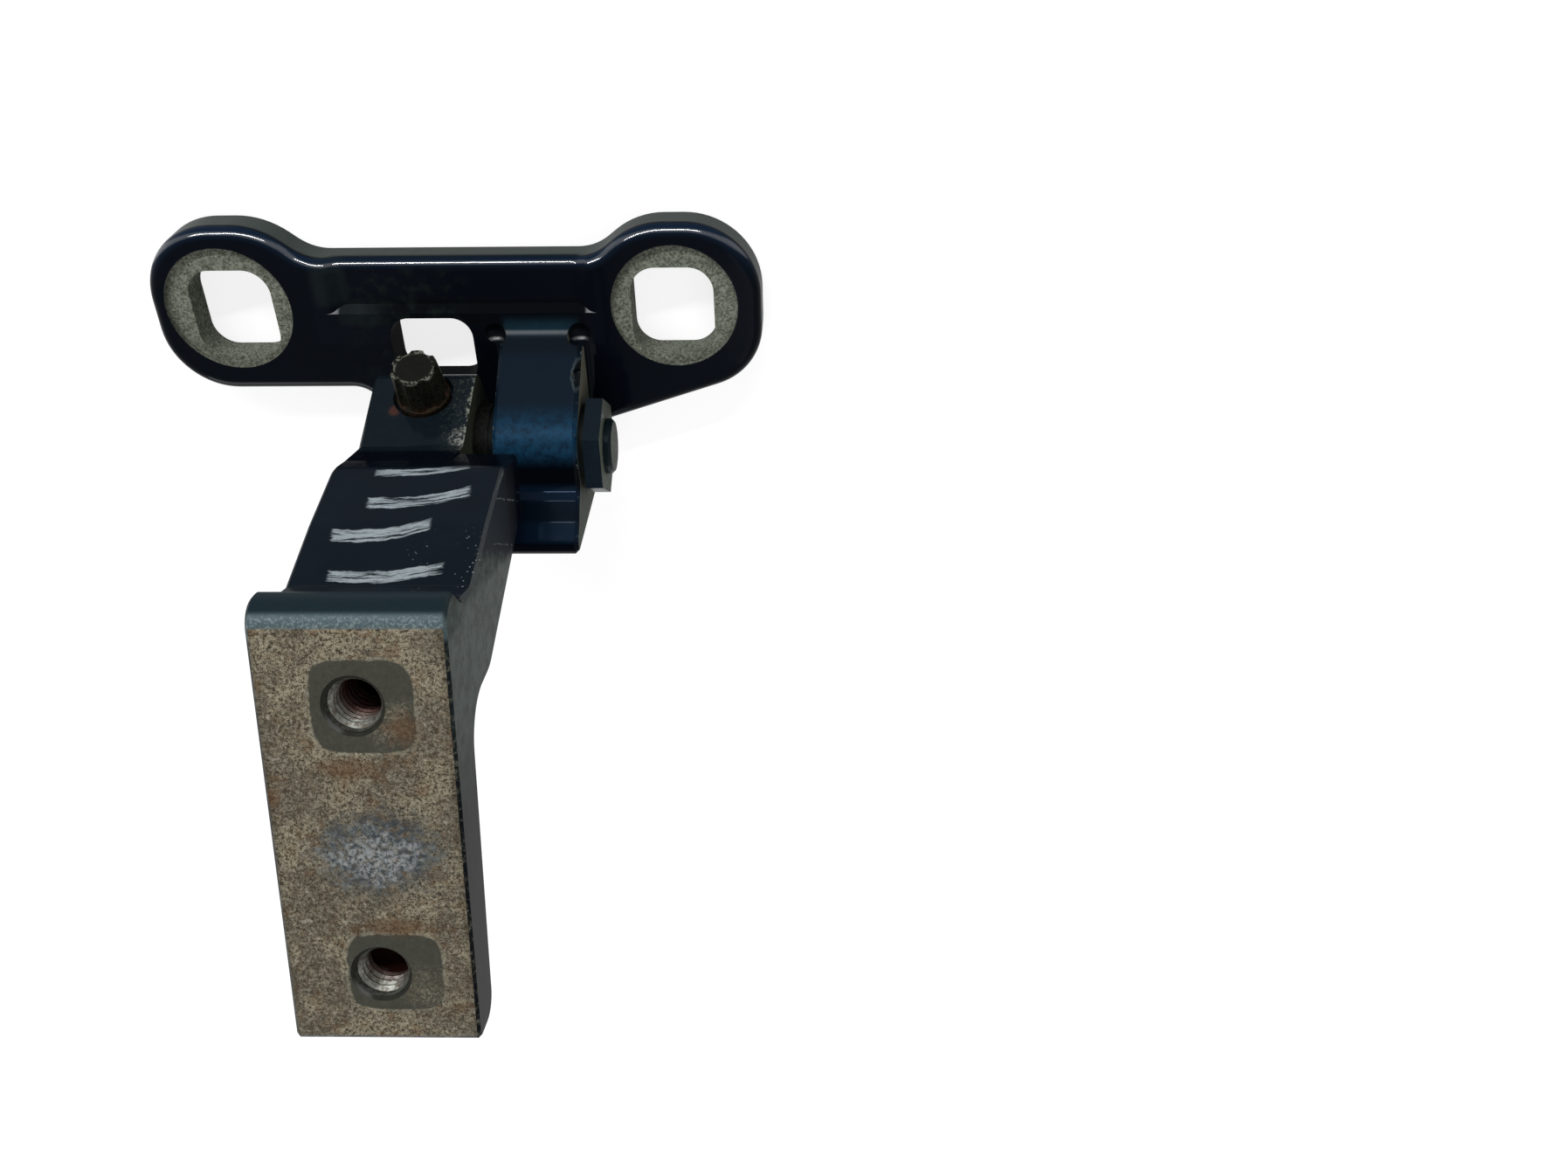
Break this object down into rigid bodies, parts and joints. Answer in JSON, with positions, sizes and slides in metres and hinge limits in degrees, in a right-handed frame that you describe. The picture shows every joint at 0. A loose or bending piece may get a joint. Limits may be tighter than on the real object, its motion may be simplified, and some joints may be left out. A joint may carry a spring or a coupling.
{
  "type": "car door hinge",
  "caption": "Painted forged steel car door hinge: pillar plate with lug, cranked door arm on a hex-headed pin, and a locking screw.",
  "frame": {"origin": "on the pillar plate's mounting face, midway between the two outer bolt seats", "axes": "+X along the hinge pin towards its hex head, +Y up the pillar plate away from the pin, +Z out of the mounting face towards the door arm"},
  "size_m": [0.1097, 0.0924, 0.1045],
  "materials": {
    "plate_paint": "gloss dark blue, bare on the bolt seats",
    "arm_paint": "dark blue-black, pad face worn bare",
    "pin_paint": "satin dark blue",
    "bush_metal": "dull bronze",
    "washer_steel": "dull",
    "screw_steel": "dark, dirty"
  },
  "bodies": {
    "pillar_side": {"plate": "plate_paint", "inner_bush": "bush_metal", "outer_bush": "bush_metal", "thrust_washer": "washer_steel"},
    "door_side": {"door_arm": "arm_paint", "hinge_pin": "pin_paint", "locking_screw": "screw_steel"}
  },
  "joints": [
    {"name": "door_swing", "type": "hinge", "parent": "pillar_side", "child": "door_side", "pos_m": [0, -0.0225, 0.017], "axis": [1, 0, 0], "range_deg": [-30, 24]}
  ]
}
